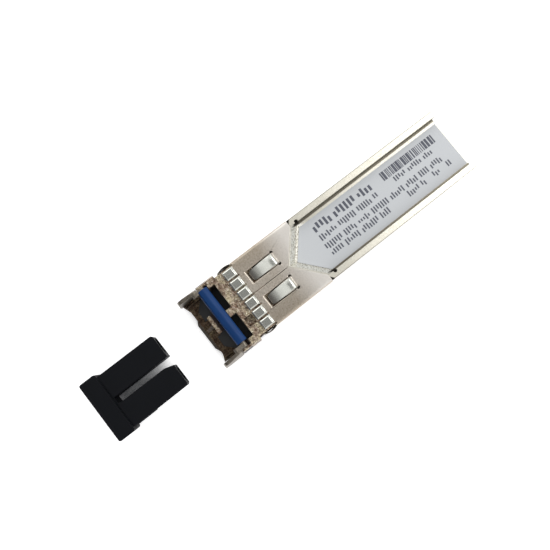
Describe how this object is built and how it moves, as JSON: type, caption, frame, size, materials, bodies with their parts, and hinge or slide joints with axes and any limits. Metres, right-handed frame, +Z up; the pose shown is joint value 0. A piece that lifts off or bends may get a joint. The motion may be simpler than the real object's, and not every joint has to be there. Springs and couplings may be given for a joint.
{
  "type": "pluggable optical transceiver module",
  "caption": "Small form-factor pluggable fibre-optic transceiver with twin ports, spring collar, label recess, swinging blue bail, latch lever and a separate dust plug.",
  "frame": {"origin": "point on the flat underside, on the middle plane, midway along the metal body", "axes": "+X across the module to the right seen from the port end, +Y from the ports to the host card edge, +Z up out of the label"},
  "size_m": [0.0148, 0.0805, 0.0094],
  "materials": {
    "cast_metal": "rough nickel-plated die casting",
    "cover_metal": "satin nickel-plated die casting",
    "collar_steel": "satin nickel-plated sheet",
    "label_film": "satin film",
    "bail_steel": "dull stamped steel",
    "blue_plastic": "moulded, semi-matte",
    "black_plastic": "moulded, matte",
    "plug_rubber": "moulded, matte",
    "gold_plating": "gold plated",
    "turned_steel": "turned",
    "white_ceramic": "ground",
    "board_laminate": "solder-mask green",
    "amber_film": "polyimide film",
    "chip_resin": "moulded resin",
    "capacitor_body": "fired ceramic",
    "pad_silicone": "soft filled silicone",
    "spring_steel": "bright strip"
  },
  "bodies": {
    "module": {"lower_housing": "cast_metal", "top_cover": "cover_metal", "emi_collar": "collar_steel", "label_plate": "label_film", "port_liner": "black_plastic", "bail_pin_left": "turned_steel", "bail_pin_right": "turned_steel", "latch_pin": "turned_steel", "latch_spring": "spring_steel", "optics_clamp": "spring_steel", "tx_barrel": "turned_steel", "tx_can": "gold_plating", "tx_sleeve": "white_ceramic", "tx_fibre_stub": "white_ceramic", "tx_flex": "amber_film", "rx_barrel": "turned_steel", "rx_can": "gold_plating", "rx_sleeve": "white_ceramic", "rx_fibre_stub": "white_ceramic", "rx_flex": "amber_film", "circuit_board": "board_laminate", "driver_chip": "chip_resin", "amplifier_chip": "chip_resin", "controller_chip": "chip_resin", "thermal_pad": "pad_silicone", "capacitor_1": "capacitor_body", "capacitor_2": "capacitor_body", "capacitor_3": "capacitor_body", "capacitor_4": "capacitor_body", "contact_top_1": "gold_plating", "contact_top_2": "gold_plating", "contact_top_3": "gold_plating", "contact_top_4": "gold_plating", "contact_top_5": "gold_plating", "contact_top_6": "gold_plating", "contact_top_7": "gold_plating", "contact_top_8": "gold_plating", "contact_top_9": "gold_plating", "contact_top_10": "gold_plating", "contact_bottom_1": "gold_plating", "contact_bottom_2": "gold_plating", "contact_bottom_3": "gold_plating", "contact_bottom_4": "gold_plating", "contact_bottom_5": "gold_plating", "contact_bottom_6": "gold_plating", "contact_bottom_7": "gold_plating", "contact_bottom_8": "gold_plating", "contact_bottom_9": "gold_plating", "contact_bottom_10": "gold_plating"},
    "bail": {"bail_frame": "bail_steel", "bail_grip": "blue_plastic"},
    "latch": {"latch_lever": "bail_steel"},
    "plug": {"dust_plug": "plug_rubber"}
  },
  "joints": [
    {"name": "bail_hinge", "type": "hinge", "parent": "module", "child": "bail", "pos_m": [0, -0.0288, 0.0022], "axis": [1, 0, 0], "range_deg": [0, 90]},
    {"name": "latch_hinge", "type": "hinge", "parent": "module", "child": "latch", "pos_m": [0, -0.0235, 0.00072], "axis": [1, 0, 0], "range_deg": [0, 4.5]},
    {"name": "plug_slide", "type": "slide", "parent": "module", "child": "plug", "axis": [0, 1, 0], "range_m": [0, 0.01855]}
  ],
  "couplings": [
    {"joint": "latch_hinge", "follows": "bail_hinge", "ratio": 0.05}
  ]
}
